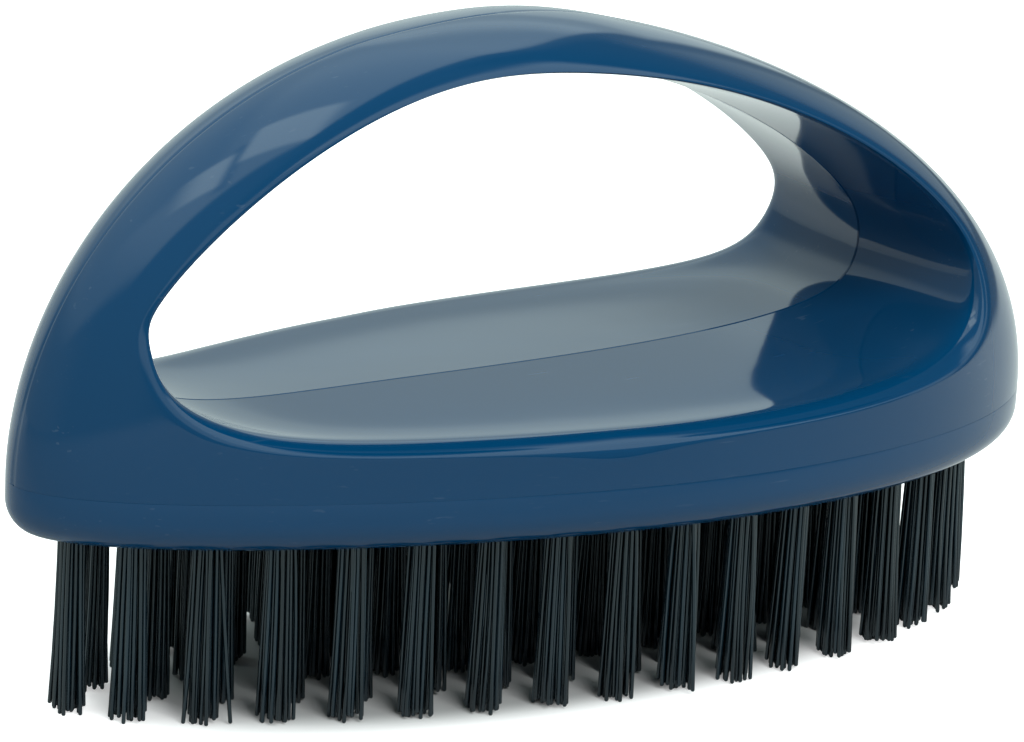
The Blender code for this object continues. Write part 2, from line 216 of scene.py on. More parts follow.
# Studio by direction. Side, front and up are the parts of a direction to the right, towards the
# camera and up. Across and ahead are side and front over up, as places on a flat ceiling. Rear edge
# and fore edge are slanted mixes of these, for the two straight edges of the ceiling panel. An edge
# is a measure, its value where a smooth mask is 0 and its value where it is 1. An area is its level
# and its edges.
ROOM_TINT = (0.85, 1.00, 0.96)
ROOM_LEVEL = 0.20
LEAST_UP = 0.02
REAR_EDGE_SLANT = 0.19
FORE_EDGE_SLANT = 0.90
RIGHT_REAR = (("rear_edge", 0.0, 0.06), ("front", -0.2, -0.5))
BEYOND = ("rear_edge", 0.0, -0.04)
BEHIND = (BEYOND, ("front", -0.35, -0.65))
WALLS = (
    # In front on the left, and on the left
    (0.34, ("front", 0.05, 0.20), ("side", 0.1, -0.2)),
    (0.45, ("side", -0.60, -0.90)),
    # Dark right rear, less so straight behind
    (0.10, *RIGHT_REAR),
    (0.36, *RIGHT_REAR, ("front", -0.80, -0.92)),
    # Pale behind, with a dimmer band under the ceiling
    (0.85, *BEHIND),
    (0.70, *BEHIND, ("up", 0.23, 0.29)),
    (0.92, *BEHIND, ("up", 0.31, 0.43)),
)
# Ceiling panel: its level, its gain towards overhead, and its further gain there off the left rear corner
PANEL_LEVEL = 0.86
PANEL_EDGES = (BEYOND, ("fore_edge", 0.13, 0.06), ("ahead", 1.15, 0.75), ("up", 0.30, 0.50))
OVERHEAD_GAIN = 0.20
OVERHEAD_EDGE = ("up", 0.50, 0.75)
OFF_CORNER_GAIN = 0.38
OFF_CORNER_EDGE = ("up", 0.60, 0.85)
CORNER_FORE_EDGE = ("ahead", 0.05, 0.25)
CORNER_RIGHT_EDGE = ("across", -0.47, -0.30)
PANELS = (
    # Bright rear end of the ceiling panel
    (1.14, *BEHIND, ("up", 0.38, 0.45), ("up", 0.60, 0.50)),
    # Low light in front
    (0.90, ("side", -0.10, 0.05), ("side", 0.75, 0.60), ("front", 0.45, 0.60), ("up", 0.25, 0.35),
     ("up", 0.72, 0.62)),
    # Narrow strip on the right
    (0.8, ("side", 0.50, 0.70), ("front", -0.31, -0.26), ("front", -0.06, -0.11), ("up", 0.62, 0.55)),
)
# Ceiling spots: level, left, right, rear and fore ends on the flat ceiling, blur of the left end and
# of the others. They are the dark gap, the two bright places, and the window.
CEILING_EDGE = ("up", 0.3, 0.5)
CEILING_SPOTS = (
    (0.9, -0.35, -0.29, -0.02, 0.40, 0.02, 0.02),
    (3.1, -0.30, -0.06, -0.14, 0.17, 0.02, 0.025),
    (3.1, -0.54, -0.34, 0.05, 0.34, 0.12, 0.025),
    (1.45, 0.28, 1.35, -0.40, 1.00, 0.07, 0.12),
)


def rounded(share, rise, power):
    """Height of a rounded outline, 1 at share 0 and 0 at share 1."""
    return np.maximum(1.0 - np.abs(share) ** rise, 0.0) ** (1.0 / power)


def smooth_step(share):
    """0 below 0, 1 above 1, and an even S between."""
    share = np.clip(share, 0.0, 1.0)
    return share * share * (3.0 - 2.0 * share)


def oval_side(share):
    """Half-width of the base oval as a share, at a place along it from -1 to 1."""
    return rounded(share, OVAL_POWER, OVAL_POWER) * (1.0 + TAPER_SHARE * share)


def end_reach(level, length, rise, power):
    """How far the dome reaches from its apex at a level: a rounded outline, a parabola near the top."""
    outline = length * rounded(level, rise, power)
    crown = CROWN_REACH * np.sqrt(np.maximum(1.0 - level, 0.0))
    return crown + (outline - crown) * smooth_step((1.0 - level) / CROWN_SHARE)


def dome_ends(level):
    """X of the dome's left and right ends at a level from 0, the seam, to 1, the top."""
    half = BASE_LENGTH / 2
    left = DOME_APEX_X - end_reach(level, half + DOME_APEX_X, LEFT_END_RISE, LEFT_END_POWER)
    right = DOME_APEX_X + end_reach(level, half - DOME_APEX_X, RIGHT_END_RISE, RIGHT_END_POWER)
    return left, right


def outer_half_width(x, z):
    """Half-width of the outer surface at a place in the side view: the base oval, fitted to the ends."""
    level = np.clip((z - SEAM_Z) / DOME_HEIGHT, 0.0, 1.0)
    left, right = dome_ends(level)
    reach = np.maximum((right - left) / 2, LEAST_REACH)
    share = np.clip((x - (left + right) / 2) / reach, -1.0, 1.0)
    return BASE_WIDTH / 2 * rounded(level, SIDE_RISE, SIDE_POWER) * oval_side(share)


def spread_evenly(points, count, closed):
    """The given number of points, evenly spaced along a path of dense points."""
    path = np.vstack([points, points[:1]]) if closed else points
    steps = np.linalg.norm(np.diff(path, axis=0), axis=1)
    along = np.concatenate([[0.0], np.cumsum(steps)])
    stops = np.linspace(0.0, along[-1], count, endpoint=not closed)
    return np.column_stack([np.interp(stops, along, path[:, axis]) for axis in range(path.shape[1])])


def base_edge(count):
    """Points on the base oval from its left end by the near side, and their inward directions."""
    angle = np.linspace(0.0, 2.0 * math.pi, DENSE_POINTS, endpoint=False)
    share = -np.cos(angle)
    across = -np.sign(np.sin(angle)) * oval_side(share)
    edge = np.column_stack([BASE_LENGTH / 2 * share, BASE_WIDTH / 2 * across])
    edge = spread_evenly(edge, count, closed=True)
    along = np.roll(edge, -1, axis=0) - np.roll(edge, 1, axis=0)
    along /= np.linalg.norm(along, axis=1)[:, None]
    return edge, np.column_stack([-along[:, 1], along[:, 0]])


def base_path(inset):
    """Dense closed path at a distance inside the base oval, without points that come nearer to it."""
    edge, inward = base_edge(DENSE_POINTS // 2)
    path = edge + inset * inward
    gaps = np.linalg.norm(path[:, None, :] - edge[None, ::OUTLINE_SKIP, :], axis=2).min(axis=1)
    return path[gaps > inset * INSET_KEEP_SHARE]


def ring_places(inset, pitch, start_share):
    """Tuft places on a ring inside the base oval, an even number of them at about the pitch."""
    path = base_path(inset)
    closed = np.vstack([path, path[:1]])
    steps = np.linalg.norm(np.diff(closed, axis=0), axis=1)
    along = np.concatenate([[0.0], np.cumsum(steps)])
    count = 2 * round(along[-1] / (2 * pitch))
    stops = (along[-1] * (np.arange(count) + start_share) / count) % along[-1]
    return np.column_stack([np.interp(stops, along, closed[:, axis]) for axis in range(2)])


def tuft_places():
    """Places of the outer ring's tufts, and of the inner rings and the centre row.

    The row fills the wide part of the last ring. A place too near to one before it is left out.
    """
    outer = ring_places(RING_EDGE, TUFT_PITCH, OUTER_START_SHARE)
    inner = [ring_places(RING_EDGE + RING_STEP, INNER_PITCH, INNER_START_SHARES[0]),
             ring_places(RING_EDGE + 2 * RING_STEP, INNER_PITCH, INNER_START_SHARES[1])]
    wide = inner[-1][np.abs(inner[-1][:, 1]) > RING_STEP, 0]
    length = np.ptp(wide)
    count = int(length / INNER_PITCH)
    row = wide.min() + length * (np.arange(count) + 0.5) / count
    inner.append(np.column_stack([row, np.zeros(count)]))
    kept = []
    for place in np.vstack(inner):
        if all(np.linalg.norm(place - other) > HOLE_SPACING for other in kept):
            kept.append(place)
    return outer, np.array(kept)


def opening_outline(shrink):
    """Closed outline of the hand opening in the side view, of four rounded quarters.

    In each quarter |x / reach| ** rise + |z / height| ** power = 1. The draft, which leans towards
    the right end, is taken off each reach and height. Three joints of the quarters are eased.
    """
    angle = np.linspace(0.0, 2.0 * math.pi, DENSE_POINTS, endpoint=False)
    cosine, sine = np.cos(angle), np.sin(angle)
    left, low = cosine < 0.0, sine < 0.0
    rise = np.where(low, np.where(left, LOWER_LEFT_RISE, LOWER_RIGHT_RISE),
                    np.where(left, UPPER_LEFT_RISE, UPPER_RIGHT_RISE))
    power = np.where(low, np.where(left, LOWER_LEFT_POWER, LOWER_RIGHT_POWER),
                     np.where(left, UPPER_LEFT_POWER, UPPER_RIGHT_POWER))
    draft = shrink * (1.0 + DRAFT_LEAN_SHARE * cosine)
    reach = np.where(left, OPENING_LEFT_REACH, OPENING_RIGHT_REACH) - draft
    height = np.where(low, OPENING_DROP, OPENING_RISE) - draft
    x = OPENING_APEX_X + reach * np.sign(cosine) * np.abs(cosine) ** (2.0 / rise)
    z = OPENING_Z + height * np.sign(sine) * np.abs(sine) ** (2.0 / power)
    outline = spread_evenly(np.column_stack([x, z]), DENSE_POINTS, closed=True)
    top = (OPENING_APEX_X, OPENING_Z + OPENING_RISE)
    tip = (OPENING_APEX_X - OPENING_LEFT_REACH, OPENING_Z)
    end = (OPENING_APEX_X + OPENING_RIGHT_REACH, OPENING_Z)
    outline = ease(outline, top, TOP_BLUR, TOP_BLUR_REACH)
    outline = ease(outline, tip, TIP_BLUR, TIP_BLUR_REACH)
    return ease(outline, end, END_BLUR, END_BLUR_REACH)


def ease(outline, centre, blur, reach):
    """A closed outline blurred along itself by a bell curve, only near a point."""
    step = np.linalg.norm(outline[1] - outline[0])
    offsets = np.arange(-int(3 * blur / step), int(3 * blur / step) + 1)
    bell = np.exp(-0.5 * (offsets * step / blur) ** 2)
    bell /= bell.sum()
    blurred = sum(weight * np.roll(outline, offset, axis=0) for offset, weight in zip(offsets, bell))
    near = np.exp(-0.5 * (np.linalg.norm(outline - np.array(centre), axis=1) / reach) ** 2)
    return outline + near[:, None] * (blurred - outline)


def opening_points(shrink):
    """Opening points for each section: round the dome first, then back along the saddle."""
    outline = opening_outline(shrink)
    corner_level = OPENING_Z - (OPENING_DROP - shrink) * SADDLE_CORNER_SHARE
    low = outline[:, 1] < corner_level
    start = int(np.argmax(~low & np.roll(low, 1)))
    ring = np.roll(outline, -start, axis=0)
    low = np.roll(low, -start)
    split = int(np.argmax(low))
    over = spread_evenly(ring[:split], DOME_SECTIONS, closed=False)
    under = spread_evenly(ring[split - 1:], SADDLE_SECTIONS + 2, closed=False)
    return np.vstack([over, under[1:-1]])


def profile_points():
    """Outer mid-plane points for each section: over the dome, then back along the seam."""
    level = np.sin(np.linspace(0.0, math.pi / 2, DENSE_POINTS))
    left, right = dome_ends(level)
    height = SEAM_Z + DOME_HEIGHT * level
    over = np.vstack([np.column_stack([right, height]), np.column_stack([left, height])[::-1]])
    over = spread_evenly(over, DOME_SECTIONS, closed=False)
    share = -np.cos(np.linspace(0.0, math.pi, SADDLE_SECTIONS + 2))[1:-1]
    under = np.column_stack([BASE_LENGTH / 2 * share, np.full(SADDLE_SECTIONS, SEAM_Z)])
    return np.vstack([over, under])


def lip_height(gap):
    """Height of the lip over the plain wall at a distance from the rim.

    Its slope grows from nothing at the lip's start, as the share of the way to the power, and then
    stays the same up to the rim.
    """
    reach = LIP_START - LIP_FULL
    share = np.clip((LIP_START - gap) / reach, 0.0, 1.0)
    growing = reach * share ** (LIP_POWER + 1.0) / (LIP_POWER + 1.0)
    return LIP_SLOPE * (growing + np.clip(LIP_FULL - gap, 0.0, None))


def wall_rows(rims, middles, direction, join):
    """Rows of the opening's wall, from its mid-plane to the place where it rolls over into the rim.

    Each row is a share of the way from a point of the middle outline to one of the rim. On the
    saddle it stands off inward by the lip's height. Near the rim it falls back by a power of the
    distance, to meet the rim's quarter ellipse at the join angle. The mid-plane row dips by the
    parting line's depth.
    """
    sink = direction * RIM_HEIGHT * (1.0 - math.cos(join))
    ends = rims + sink
    last = outer_half_width(ends[:, 0], ends[:, 1]) - RIM_DEPTH * (1.0 - math.sin(join))
    spread = 1.0 - (1.0 - np.linspace(0.0, 1.0, TUNNEL_ROWS - 1)) ** ROW_POWER
    share = spread[None, :] + (PARTING_WIDTH / last)[:, None] * (1.0 - spread[None, :])
    share = np.column_stack([np.zeros(len(rims)), share])
    lowness = smooth_step((OPENING_Z - rims[:, 1]) / (OPENING_DROP * SADDLE_CORNER_SHARE))
    gap = (1.0 - share) * last[:, None]
    roll_length = ROLL_LENGTHS[0] + (ROLL_LENGTHS[1] - ROLL_LENGTHS[0]) * lowness[:, None]
    roll = np.clip(1.0 - gap / roll_length, 0.0, 1.0) ** ROLL_POWER
    lip = (lip_height(gap) - lip_height(0.0) * roll) * lowness[:, None]
    along = np.roll(middles, -1, axis=0) - np.roll(middles, 1, axis=0)
    inward = np.column_stack([-along[:, 1], along[:, 0]]) / np.linalg.norm(along, axis=1)[:, None]
    inward *= np.sign((inward * (middles - rims)).sum(axis=1))[:, None]
    wall = middles[:, None, :] + (rims - middles)[:, None, :] * share[:, :, None]
    wall += inward[:, None, :] * lip[:, :, None] + sink[:, None, :] * roll[:, :, None]
    wall = np.dstack([wall[:, :, 0], -last[:, None] * share, wall[:, :, 1]])
    wall[:, 0, 0] -= inward[:, 0] * PARTING_DEPTH
    wall[:, 0, 2] -= inward[:, 1] * PARTING_DEPTH
    return wall


def surface_rows(rims, direction, distance, inset):
    """Rows at distances out from the rim points, inside the outer surface by an inset."""
    place = rims[:, None, :] + direction[:, None, :] * distance[:, :, None]
    side = outer_half_width(place[:, :, 0], place[:, :, 1]) - inset
    return np.dstack([place[:, :, 0], -side, place[:, :, 1]])


def handle_grid():
    """Near half of the upper moulding, as sections round the opening by rows across them.

    A section goes along the wall of the opening, round its rim by the rest of a quarter ellipse, and
    down the outer surface to the mid-plane of the dome or to the seam. The rows of the outer surface
    are spaced by a sine. On the dome the last one dips by the parting line's depth.
    """
    rims, middles, outers = opening_points(0.0), opening_points(OPENING_DRAFT), profile_points()
    direction = outers - rims
    span = np.linalg.norm(direction, axis=1)
    direction /= span[:, None]

    join = math.radians(JOIN_DEGREES)
    wall = wall_rows(rims, middles, direction, join)
    turn = join + (np.arange(RIM_ROWS) + 1.0)[None, :] * (math.pi / 2 - join) / (RIM_ROWS + 1.0)
    inset = RIM_DEPTH * (1.0 - np.sin(turn))
    bend = surface_rows(rims, direction, RIM_HEIGHT * (1.0 - np.cos(turn)), inset)

    share = np.sin(np.linspace(0.0, math.pi / 2, FLANK_ROWS))
    distance = RIM_HEIGHT + (span[:, None] - RIM_HEIGHT) * share[None, :]
    flank = surface_rows(rims, direction, distance, 0.0)
    domed = np.arange(len(rims)) < DOME_SECTIONS
    flank[domed, -1, 1] = 0.0
    flank[domed, -1, 0] -= direction[domed, 0] * TOP_PARTING_DEPTH
    flank[domed, -1, 2] -= direction[domed, 1] * TOP_PARTING_DEPTH
    return np.concatenate([wall, bend, flank], axis=1)


def grid_faces(sections, rows, first=0):
    """Quads of a grid that is closed along its sections."""
    index = first + np.arange(sections * rows).reshape(sections, rows)
    following = np.roll(index, -1, axis=0)
    corners = [index[:, :-1], following[:, :-1], following[:, 1:], index[:, 1:]]
    return np.stack(corners, axis=-1).reshape(-1, 4)


def mesh_of(name, points, faces):
    """A mesh from points and faces, with its faces turned outward by the sign of its volume."""
    mesh = bpy.data.meshes.new(name)
    mesh.from_pydata(points.tolist(), [], faces)
    shape = bmesh.new()
    shape.from_mesh(mesh)
    bmesh.ops.remove_doubles(shape, verts=shape.verts, dist=MERGE_DISTANCE)
    bmesh.ops.dissolve_degenerate(shape, edges=shape.edges, dist=MERGE_DISTANCE)
    bmesh.ops.recalc_face_normals(shape, faces=shape.faces)
    if shape.calc_volume(signed=True) < 0.0:
        bmesh.ops.reverse_faces(shape, faces=shape.faces)
    shape.to_mesh(mesh)
    shape.free()
    return mesh


def new_piece(name, mesh, material, slot, *nodes):
    """Put a mesh in an object that rides on the brush and stands for the given nodes."""
    piece = bpy.data.objects.new(name, mesh)
    bpy.context.scene.collection.objects.link(piece)
    mesh.materials.append(material)
    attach(piece, "root")
    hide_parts(*nodes)


def shade(mesh, degrees):
    """Smooth shading with sharp edges over an angle."""
    mesh.shade_smooth()
    mesh.set_sharp_from_angle(angle=math.radians(degrees))


def make_handle(material):
    """The upper moulding: the near half grid, its mirror image, and a flat face at the seam."""
    near = handle_grid()
    sections, rows = near.shape[:2]
    far = near * np.array([1.0, -1.0, 1.0])
    points = np.vstack([near.reshape(-1, 3), far.reshape(-1, 3)])
    faces = grid_faces(sections, rows).tolist()
    faces += grid_faces(sections, rows, first=sections * rows)[:, ::-1].tolist()
    last = np.arange(sections) * rows + rows - 1
    seam = np.concatenate([last[DOME_SECTIONS - 1:], last[:1]])
    faces.append(seam.tolist() + (seam[1:-1][::-1] + sections * rows).tolist())
    mesh = mesh_of("handle_shell", points, faces)
    shade(mesh, MOULDING_SHARP_DEGREES)
    new_piece("handle_shell", mesh, material, "navy_plastic", "handle_body")


def block_rings():
    """Rings of the bristle block from its top edge down the side and round the lower corner."""
    edge, inward = base_edge(OUTLINE_POINTS)
    top = SEAM_Z - SEAM_GAP
    small = np.linspace(math.pi / 2, 0.0, SEAM_STEPS)
    insets = list(SEAM_ROUND * (1.0 - np.cos(small)))
    levels = list(top - SEAM_ROUND * (1.0 - np.sin(small)))
    corner = np.linspace(0.0, math.pi / 2, CORNER_STEPS)
    insets += list(BLOCK_CORNER * (1.0 - np.cos(corner)))
    levels += list(UNDERSIDE_Z + BLOCK_CORNER * (1.0 - np.sin(corner)))
    rings = [np.column_stack([edge + inset * inward, np.full(OUTLINE_POINTS, level)])
             for inset, level in zip(insets, levels)]
    return np.array(rings)


def ring_faces(index):
    """Quads between each ring of point numbers and the next, closed along the rings."""
    beside = np.roll(index, -1, axis=1)
    return np.stack([index[:-1], index[1:], beside[1:], beside[:-1]], axis=-1).reshape(-1, 4).tolist()


def drilled_face(edge, places, circle):
    """Corners and triangles of the flat underside inside its edge, less the mouths of the holes."""
    mouths = [place + (HOLE_RADIUS + HOLE_CHAMFER) * circle for place in places]
    starts = [0] + [len(edge) + k * HOLE_SIDES for k in range(len(places) + 1)]
    loops = [range(start, stop) for start, stop in zip(starts, starts[1:])]
    sides = [(a, b) for loop in loops for a, b in zip(loop, [*loop[1:], loop[0]])]
    flat = [Vector(point) for point in np.vstack([edge] + mouths)]
    made = geometry.delaunay_2d_cdt(flat, sides, [], 0, MERGE_DISTANCE)
    corners = np.array([tuple(vertex) for vertex in made[0]])
    triangles = np.array(made[2])
    middle = corners[triangles].mean(axis=1)
    gap = np.linalg.norm(middle[:, None, :] - places[None, :, :], axis=2).min(axis=1)
    kept = triangles[gap > HOLE_RADIUS + HOLE_CHAMFER / 2]
    return corners, kept[inside_oval(corners[kept].mean(axis=1), edge)]


def make_block(material, places):
    """The bristle block: its rings, a flat top, and an underside drilled with chamfered tuft holes."""
    rings = block_rings()
    index = np.arange(rings.shape[0] * rings.shape[1]).reshape(rings.shape[:2])
    points = [rings.reshape(-1, 3)]
    faces = ring_faces(index)
    faces.append(index[0].tolist())

    angle = 2.0 * math.pi * np.arange(HOLE_SIDES) / HOLE_SIDES
    circle = np.column_stack([np.cos(angle), np.sin(angle)])
    corners, triangles = drilled_face(rings[-1][:, :2], places, circle)
    points.append(np.column_stack([corners, np.full(len(corners), UNDERSIDE_Z)]))
    faces += (triangles + index.size).tolist()

    first = index.size + len(corners)
    levels = (UNDERSIDE_Z, UNDERSIDE_Z + HOLE_CHAMFER, UNDERSIDE_Z + HOLE_DEPTH)
    radii = (HOLE_RADIUS + HOLE_CHAMFER, HOLE_RADIUS, HOLE_RADIUS)
    for place in places:
        for level, radius in zip(levels, radii):
            points.append(np.column_stack([place + radius * circle, np.full(HOLE_SIDES, level)]))
        hole = first + np.arange(len(levels) * HOLE_SIDES).reshape(len(levels), HOLE_SIDES)
        faces += ring_faces(hole)
        faces.append(hole[-1].tolist())
        first += hole.size
    mesh = mesh_of("bristle_plate", np.vstack(points), faces)
    shade(mesh, MOULDING_SHARP_DEGREES)
    new_piece("bristle_plate", mesh, material, "navy_plastic", "bristle_block")


def inside_oval(places, outline):
    """True where a place is inside a closed outline, by counting crossings of a ray along +X."""
    x, y = places[:, :1], places[:, 1:]
    ax, ay = outline[:, 0][None, :], outline[:, 1][None, :]
    bx, by = np.roll(ax, -1, axis=1), np.roll(ay, -1, axis=1)
    crosses = (ay > y) != (by > y)
    rise = np.where(by == ay, 1.0, by - ay)
    return (crosses & (x < ax + (y - ay) * (bx - ax) / rise)).sum(axis=1) % 2 == 1


def filament_points(places, seed):
    """Points of every filament of the given tufts, as filaments by steps by sides, and their tones.

    Roots fill each hole in a sunflower spiral. A filament leans outward with its distance from the
    tuft's axis, with a small random lean, a slight bow that is deepest halfway and a ragged tip, and
    a few lean far out.
    """
    random = np.random.default_rng(seed)
    tufts = len(places)
    order = np.arange(FILAMENTS) + 0.5
    radius = TUFT_RADIUS * np.sqrt(order / FILAMENTS)
    angle = order * math.pi * (3.0 - math.sqrt(5.0))
    turn = random.uniform(0.0, 2.0 * math.pi, (tufts, 1)) + angle[None, :]
    out = np.stack([np.cos(turn), np.sin(turn)], axis=-1)
    root = out * (radius[None, :, None] + random.normal(0.0, ROOT_SCATTER, (tufts, FILAMENTS, 1)))
    flare = TUFT_FLARE * (radius / TUFT_RADIUS) ** FLARE_POWER
    lean = out * flare[None, :, None] + random.normal(0.0, FILAMENT_LEAN, (tufts, FILAMENTS, 2))
    lean += random.normal(0.0, TUFT_LEAN, (tufts, 1, 2))
    stray = random.uniform(0.0, 1.0, (tufts, FILAMENTS, 1)) < STRAY_SHARE
    lean += stray * out * random.uniform(*STRAY_LEAN, (tufts, FILAMENTS, 1))
    bow = random.normal(0.0, FILAMENT_BOW, (tufts, FILAMENTS, 2))
    tip_z = RAGGED_LENGTH * random.uniform(0.0, 1.0, (tufts, FILAMENTS)) ** RAGGED_POWER
    step = np.append(np.linspace(0.0, 1.0 - TIP_ROUND_LENGTH / ROOT_Z, FILAMENT_STEPS + 1), 1.0)
    along = step[None, None, :, None]
    line = (places[:, None, None, :] + root[:, :, None, :] + lean[:, :, None, :] * along
            + 4.0 * bow[:, :, None, :] * along * (1.0 - along))
    height = ROOT_Z + (tip_z[:, :, None] - ROOT_Z) * step[None, None, :]
    side = 2.0 * math.pi * np.arange(FILAMENT_SIDES) / FILAMENT_SIDES
    ring = FILAMENT_RADIUS * np.column_stack([np.cos(side), np.sin(side)])
    width = np.append(np.ones(FILAMENT_STEPS + 1), TIP_ROUND_SHARE)
    flat = line[:, :, :, None, :] + width[None, None, :, None, None] * ring[None, None, None, :, :]
    level = np.broadcast_to(height[..., None], flat.shape[:-1])
    points = np.concatenate([flat, level[..., None]], axis=-1)
    tone = np.broadcast_to(random.uniform(0.0, 1.0, (tufts, FILAMENTS, 1, 1)), flat.shape[:-1])
    depth = np.broadcast_to(step[None, None, :, None], flat.shape[:-1])
    return points.reshape(-1, FILAMENT_STEPS + 2, FILAMENT_SIDES, 3), tone.ravel(), depth.ravel()


def make_tufts(name, places, seed, material, nodes):
    """Filaments as thin tubes with flat ends, with their tone and depth as attributes."""
    points, tone, depth = filament_points(places, seed)
    count, rows, sides = points.shape[:3]
    index = np.arange(count * rows * sides).reshape(count, rows, sides)
    beside = np.roll(index, -1, axis=2)
    corners = [index[:, :-1], beside[:, :-1], beside[:, 1:], index[:, 1:]]
    quads = np.stack(corners, axis=-1).reshape(-1, 4)
    caps = np.vstack([index[:, 0, :], index[:, -1, ::-1]])
    mesh = bpy.data.meshes.new(name)
    mesh.from_pydata(points.reshape(-1, 3).tolist(), [], quads[:, ::-1].tolist() + caps.tolist())
    for label, values in (("tone", tone), ("depth", depth)):
        attribute = mesh.attributes.new(label, "FLOAT", "POINT")
        attribute.data.foreach_set("value", values.astype(np.float32))
    shade(mesh, FILAMENT_SHARP_DEGREES)
    new_piece(name, mesh, material, "black_nylon", *nodes)


def fill(tree, node, inputs):
    """Link inputs of a node to sockets, or set them to constants."""
    for key, value in inputs.items():
        if isinstance(value, bpy.types.NodeSocket):
            tree.links.new(value, node.inputs[key])
        else:
            node.inputs[key].default_value = value


def add_node(tree, kind, inputs, **settings):
    """A shader node with its settings and inputs, to the right of the nodes made before it."""
    node = tree.nodes.new(kind)
    node.location = (NODE_STEP * len(tree.nodes), 0.0)
    for key, value in settings.items():
        setattr(node, key, value)
    fill(tree, node, inputs)
    return node


def math_node(tree, operation, first, second):
    """Output of a Math node on sockets or numbers."""
    return add_node(tree, "ShaderNodeMath", {0: first, 1: second}, operation=operation).outputs[0]


def dot_node(tree, place, axis):
    """Output for the part of a place or direction along an axis."""
    node = add_node(tree, "ShaderNodeVectorMath", {0: place, 1: axis}, operation="DOT_PRODUCT")
    return node.outputs["Value"]


def noise_node(tree, place, scale, detail):
    """Output of a noise pattern at a place."""
    inputs = {"Vector": place, "Scale": scale, "Detail": detail}
    return add_node(tree, "ShaderNodeTexNoise", inputs).outputs["Fac"]


def range_node(tree, value, reach, tones=(0.0, 1.0), ramp="LINEAR"):
    """Output that goes from one tone to the other while a value goes through a reach."""
    inputs = {"Value": value, "From Min": reach[0], "From Max": reach[1],
              "To Min": tones[0], "To Max": tones[1]}
    return add_node(tree, "ShaderNodeMapRange", inputs, interpolation_type=ramp).outputs[0]


def mix_node(tree, factor, first, second):
    """Output of a colour mix."""
    inputs = {"Factor": factor, "A": first, "B": second}
    return add_node(tree, "ShaderNodeMix", inputs, data_type="RGBA").outputs["Result"]


def new_material(name):
    """A material, its node tree and its shader."""
    material = bpy.data.materials.new(name)
    material.use_nodes = True
    return material, material.node_tree, material.node_tree.nodes["Principled BSDF"]


def moulded_surface_group():
    """Group for moulded plastic: flow tint, fine scuffs, dust specks and a slight waviness."""
    tree = bpy.data.node_groups.new("moulded surface", "ShaderNodeTree")
    tree.interface.new_socket(name="Color", in_out="INPUT", socket_type="NodeSocketColor")
    for name in NAVY_FINISH:
        tree.interface.new_socket(name=name, in_out="INPUT", socket_type="NodeSocketFloat")
    for name, kind in (("Color", "NodeSocketColor"), ("Roughness", "NodeSocketFloat"),
                       ("Normal", "NodeSocketVector")):
        tree.interface.new_socket(name=name, in_out="OUTPUT", socket_type=kind)
    given = add_node(tree, "NodeGroupInput", {}).outputs
    spot = add_node(tree, "ShaderNodeTexCoord", {}).outputs["Object"]

    flow = math_node(tree, "SUBTRACT", noise_node(tree, spot, *FLOW_NOISE), FLOW_MIDDLE)
    bright = math_node(tree, "ADD", math_node(tree, "MULTIPLY", flow, given["Tint"]), 1.0)
    tinted = add_node(tree, "ShaderNodeVectorMath", {0: given["Color"], "Scale": bright}, operation="SCALE")

    stretch = add_node(tree, "ShaderNodeMapping",
                       {"Vector": spot, "Scale": SCUFF_STRETCH, "Rotation": SCUFF_TURN})
    fine = range_node(tree, noise_node(tree, stretch.outputs[0], *SCUFF_NOISE), SCUFF_REACH)
    where = range_node(tree, noise_node(tree, spot, *PATCH_NOISE), PATCH_REACH)
    scuff = math_node(tree, "MULTIPLY", math_node(tree, "MULTIPLY", fine, where), given["Scuff"])
    cells = add_node(tree, "ShaderNodeTexVoronoi", {"Vector": spot, "Scale": DUST_SCALE}, feature="F1")
    speck = math_node(tree, "LESS_THAN", cells.outputs["Distance"], DUST_SIZE)
    chance = math_node(tree, "GREATER_THAN", cells.outputs["Color"], DUST_CHANCE)
    dust = math_node(tree, "MULTIPLY", math_node(tree, "MULTIPLY", speck, chance), given["Dust"])
    marks = math_node(tree, "MAXIMUM", scuff, dust)

    rougher = math_node(tree, "MULTIPLY", marks, MARK_ROUGHNESS)
    bump = add_node(tree, "ShaderNodeBump", {"Distance": WAVE_HEIGHT, "Strength": given["Wave"],
                                             "Height": noise_node(tree, spot, *WAVE_NOISE)})
    add_node(tree, "NodeGroupOutput", {
        "Color": mix_node(tree, marks, tinted.outputs[0], MARK_COLOR),
        "Roughness": math_node(tree, "ADD", given["Roughness"], rougher),
        "Normal": bump.outputs["Normal"]})
    return tree


def plastic_material():
    """Glossy navy moulded plastic."""
    material, tree, shader = new_material("navy moulded plastic")
    surface = add_node(tree, "ShaderNodeGroup", {}, node_tree=moulded_surface_group())
    fill(tree, surface, {"Color": NAVY_COLOR, **NAVY_FINISH})
    fill(tree, shader, {"Base Color": surface.outputs["Color"], "Roughness": surface.outputs["Roughness"],
                        "Normal": surface.outputs["Normal"], "IOR": PLASTIC_IOR})
    return material


def nylon_material():
    """Black nylon filaments: each has its own tone, and the cut tips are a little paler."""
    material, tree, shader = new_material("black nylon filament")
    tone = add_node(tree, "ShaderNodeAttribute", {}, attribute_name="tone").outputs["Fac"]
    depth = add_node(tree, "ShaderNodeAttribute", {}, attribute_name="depth").outputs["Fac"]
    ramp = add_node(tree, "ShaderNodeValToRGB", {"Fac": tone})
    for stop, color in zip(ramp.color_ramp.elements, (NYLON_DARK, NYLON_PALE)):
        stop.color = color
    tip = range_node(tree, depth, TIP_REACH, TIP_TONES)
    mixed = mix_node(tree, tip, ramp.outputs["Color"], NYLON_TIP)
    fill(tree, shader, {"Base Color": mixed, **NYLON_FINISH})
    return material


